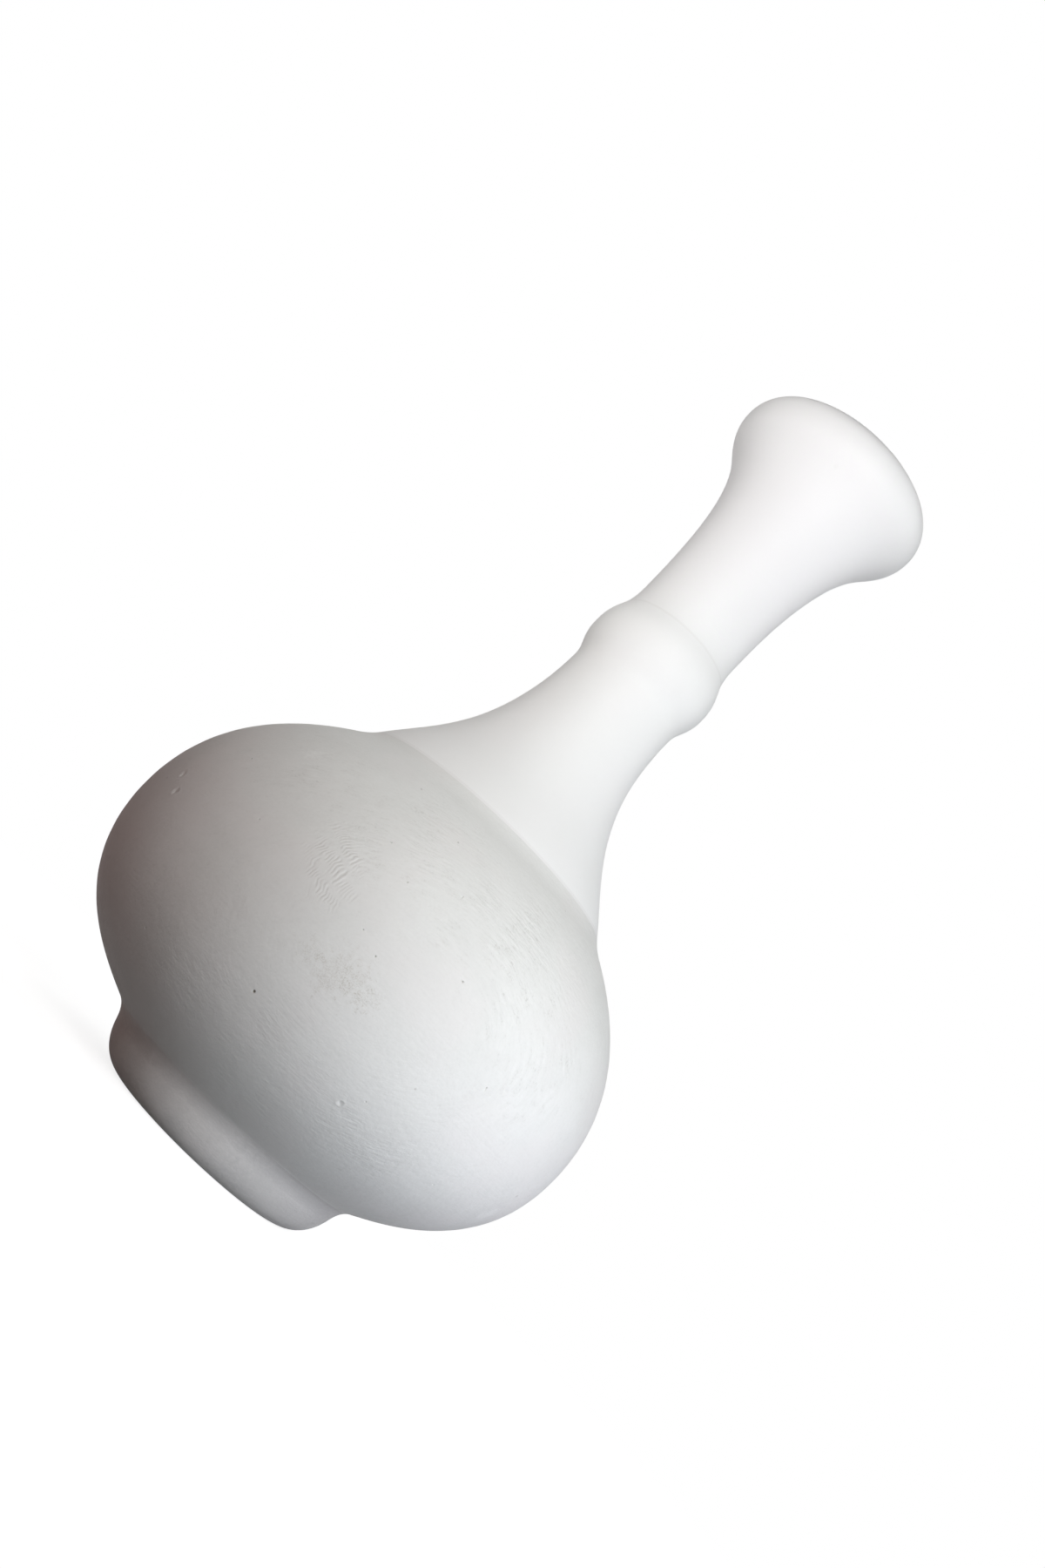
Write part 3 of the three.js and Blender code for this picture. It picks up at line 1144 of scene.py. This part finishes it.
footPiece = turnFoot()
bulbPiece = turnBulb()
flutePiece = turnFlute()
mouthPiece = turnMouth()
footSlip = turnSlip("foot_slip_cove", foot["hollowTop"], joints["foot"], footClay)
shoulderSlip = turnSlip("shoulder_slip_hem", bulb["seatInner"], joints["shoulder"], slipClay)
collarSlip = turnSlip("collar_slip_seam", flute["socketRadius"], joints["collar"], slipClay)

standIns = [
    (footPiece, "foot_ring", "bisque_foot"),
    (footSlip, "foot_luting_slip", "dry_slip"),
    (bulbPiece, "body_bulb", "bisque_body"),
    (shoulderSlip, "shoulder_luting_slip", "dry_slip"),
    (flutePiece, "neck_flute", "bisque_neck"),
    (collarSlip, "collar_luting_slip", "dry_slip"),
    (mouthPiece, "trumpet_mouth", "bisque_neck"),
]
for piece, node, slotName in standIns:
    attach(piece, "root")
    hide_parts(node)
print("pieces placed")

# The paper floor, in metres: its shadow is full as far as a share of its reach.
white = (1, 1, 1, 1)
floor = {
    "halfWidth": 4.0,
    "shown": (0.54, 0.54, 0.54, 1),
    "bounced": (0.32, 0.32, 0.32, 1),
    "glow": 0.85,
    "shadowReach": 0.22,
    "shadowFull": 0.5,
}
air = {"colour": (1, 0.98, 0.96, 1), "strength": 0.01}


def seenBy(tree):
    # The camera sees the studio itself, also by way of gloss or glass; all other rays get its light.
    path = addNode(tree, "ShaderNodeLightPath").outputs
    seen = calc(tree, "MAXIMUM", path["Is Camera Ray"], path["Is Glossy Ray"])
    return calc(tree, "MAXIMUM", seen, path["Is Transmission Ray"])


def layFloor():
    mesh = bpy.data.meshes.new("studio_floor")
    w = floor["halfWidth"]
    mesh.from_pydata([(-w, -w, 0), (w, -w, 0), (w, w, 0), (-w, w, 0)], [], [(0, 1, 2, 3)])
    piece = bpy.data.objects.new("studio_floor", mesh)
    bpy.context.scene.collection.objects.link(piece)
    material = bpy.data.materials.new("paper_floor")
    tree = clearedTree(material)
    away = vectorCalc(tree, "LENGTH", addNode(tree, "ShaderNodeTexCoord").outputs["Object"])
    # Near the vase the paper takes its shadow; further out it is plain white, as the backdrop is.
    reach = floor["shadowReach"]
    near = remap(tree, away, reach * floor["shadowFull"], reach, 1.0, 0.0)
    paper = fed(tree, "ShaderNodeBsdfDiffuse", {"Color": floor["shown"]})
    glow = fed(tree, "ShaderNodeEmission", {"Color": white, "Strength": floor["glow"]})
    lit = fed(tree, "ShaderNodeAddShader", {0: paper, 1: glow})
    plain = fed(tree, "ShaderNodeEmission", {"Color": white, "Strength": 1.0})
    shown = fed(tree, "ShaderNodeMixShader", {0: near, 1: plain, 2: lit})
    bounced = fed(tree, "ShaderNodeBsdfDiffuse", {"Color": floor["bounced"]})
    surface = fed(tree, "ShaderNodeMixShader", {0: seenBy(tree), 1: bounced, 2: shown})
    feed(addNode(tree, "ShaderNodeOutputMaterial"), {"Surface": surface})
    mesh.materials.append(material)


def hangBackdrop():
    world = bpy.data.worlds.new("studio")
    tree = clearedTree(world)
    shown = fed(tree, "ShaderNodeBackground", {"Color": white, "Strength": 1.0})
    light = fed(tree, "ShaderNodeBackground", {"Color": air["colour"], "Strength": air["strength"]})
    mixed = fed(tree, "ShaderNodeMixShader", {0: seenBy(tree), 1: light, 2: shown})
    feed(addNode(tree, "ShaderNodeOutputWorld"), {"Surface": mixed})
    bpy.context.scene.world = world


# Each lamp: where it hangs and the height it faces, in metres, its width, its power in watts and its
# colour. Light spreads by half a turn from each, and less from the one at the rim.
lamps = {
    "front": dict(at=(0.03, -0.2, 0.12), to=0.16, width=0.12, power=0.238, colour=(1, 0.989, 0.981)),
    "right": dict(at=(0.2, -0.1, 0.16), to=0.14, width=0.12, power=0.162, colour=(0.973, 1, 0.999)),
    "left": dict(at=(-0.1, -0.06, 0.12), to=0.19, width=0.06, power=0.065, colour=(0.985, 1, 0.985)),
    "neck": dict(at=(0.08, -0.13, 0.13), to=0.17, width=0.06, power=0.016, colour=(0.812, 0.956, 1)),
    "under": dict(at=(0.1, -0.11, 0.014), to=0.03, width=0.02, power=0.048, colour=(0.845, 0.905, 1)),
    "warm": dict(at=(-0.15, -0.07, 0.02), to=0.04, width=0.06, power=0.008, colour=(1, 0.25, 0.15)),
    "side": dict(at=(0.1, -0.03, 0.02), to=0.03, width=0.03, power=0.005, colour=(0.876, 0.822, 1)),
    "back": dict(at=(0.0, 0.3, 0.2), to=0.1, width=0.3, power=0.5, colour=(1, 1, 1)),
    "rim": dict(at=(-0.03, -0.03, 0.225), to=0.17, width=0.02, power=0.0016, colour=(1, 1, 1)),
}
spreads = {"rim": 70}


def hangLamps():
    for name, lamp in lamps.items():
        light = bpy.data.lights.new(name, "AREA")
        light.shape = "DISK"
        light.size = lamp["width"]
        light.energy = lamp["power"]
        light.color = lamp["colour"]
        light.spread = math.radians(spreads.get(name, 180))
        hung = bpy.data.objects.new(name, light)
        bpy.context.scene.collection.objects.link(hung)
        aim = Vector((0, 0, lamp["to"])) - Vector(lamp["at"])
        facing = aim.to_track_quat("-Z", "Y").to_matrix().to_4x4()
        hung.matrix_world = Matrix.Translation(lamp["at"]) @ facing
        hung.visible_camera = False


# The photograph's camera: close to the vase and low, looking up, and rolled so that the vase lies
# slanted. Its place is in millimetres, its angles in radians and its clipping distances in metres.
camera = {
    "at": (0.30, -235.0, 29.51),
    "turn": -0.0093,
    "tilt": 0.2214,
    "roll": 0.7635,
    "focalPixels": 1536.7,
    "clip": (0.01, 50.0),
}
frameHeight = 1800
sensorHeight = 36.0


def placeCamera():
    turn, tilt, roll = camera["turn"], camera["tilt"], camera["roll"]
    forward = Vector((math.cos(tilt) * math.sin(turn), math.cos(tilt) * math.cos(turn), math.sin(tilt)))
    right = forward.cross(Vector((0, 0, 1))).normalized()
    up = right.cross(forward)
    imageRight = math.cos(roll) * right + math.sin(roll) * up
    imageUp = -math.sin(roll) * right + math.cos(roll) * up
    data = bpy.data.cameras.new("photo_camera")
    data.sensor_fit = "AUTO"
    data.sensor_width = sensorHeight
    data.lens = sensorHeight * camera["focalPixels"] / frameHeight
    data.clip_start, data.clip_end = camera["clip"]
    data.dof.use_dof = False
    body = bpy.data.objects.new("photo_camera", data)
    bpy.context.scene.collection.objects.link(body)
    facing = Matrix((imageRight, imageUp, -forward)).transposed().to_4x4()
    body.matrix_world = Matrix.Translation(Vector(camera["at"]) * millimetre) @ facing
    bpy.context.scene.camera = body


layFloor()
hangBackdrop()
hangLamps()
placeCamera()
bpy.context.scene.view_settings.view_transform = "Standard"
print("studio set")
